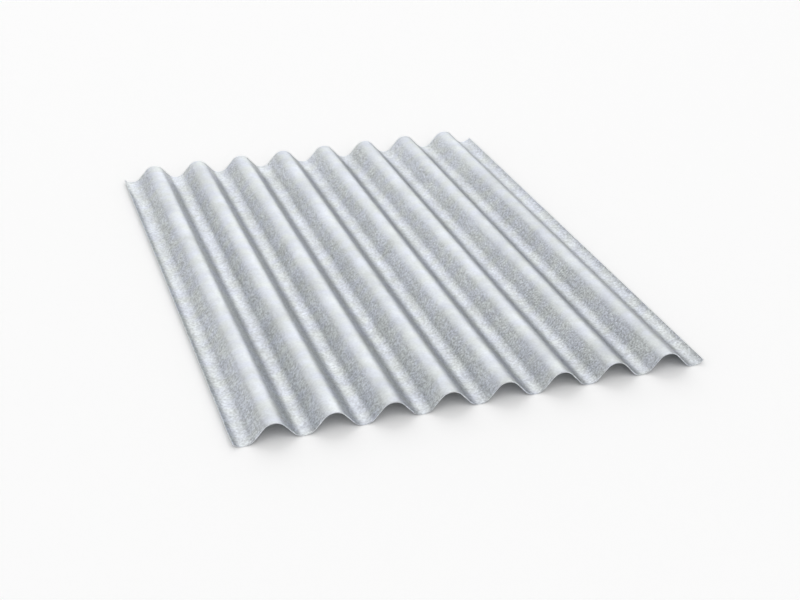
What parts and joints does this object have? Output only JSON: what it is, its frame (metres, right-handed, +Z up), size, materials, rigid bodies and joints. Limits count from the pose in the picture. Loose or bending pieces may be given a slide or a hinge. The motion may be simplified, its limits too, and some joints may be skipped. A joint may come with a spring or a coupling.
{
  "type": "corrugated metal sheet",
  "caption": "Flat-lying galvanised steel sheet rolled into even rounded waves from side to side, with square cut ends and both sides turned up.",
  "frame": {"origin": "middle of the sheet, on the underside of its middle valley, which is the bottom centre of its box", "axes": "+Z up, out of the face that sheds water; +Y along the waves; +X across the waves"},
  "size_m": [0.567, 0.77, 0.023],
  "materials": {
    "galvanised_steel": "satin"
  },
  "bodies": {
    "root": {"corrugated_sheet": "galvanised_steel"}
  },
  "joints": []
}
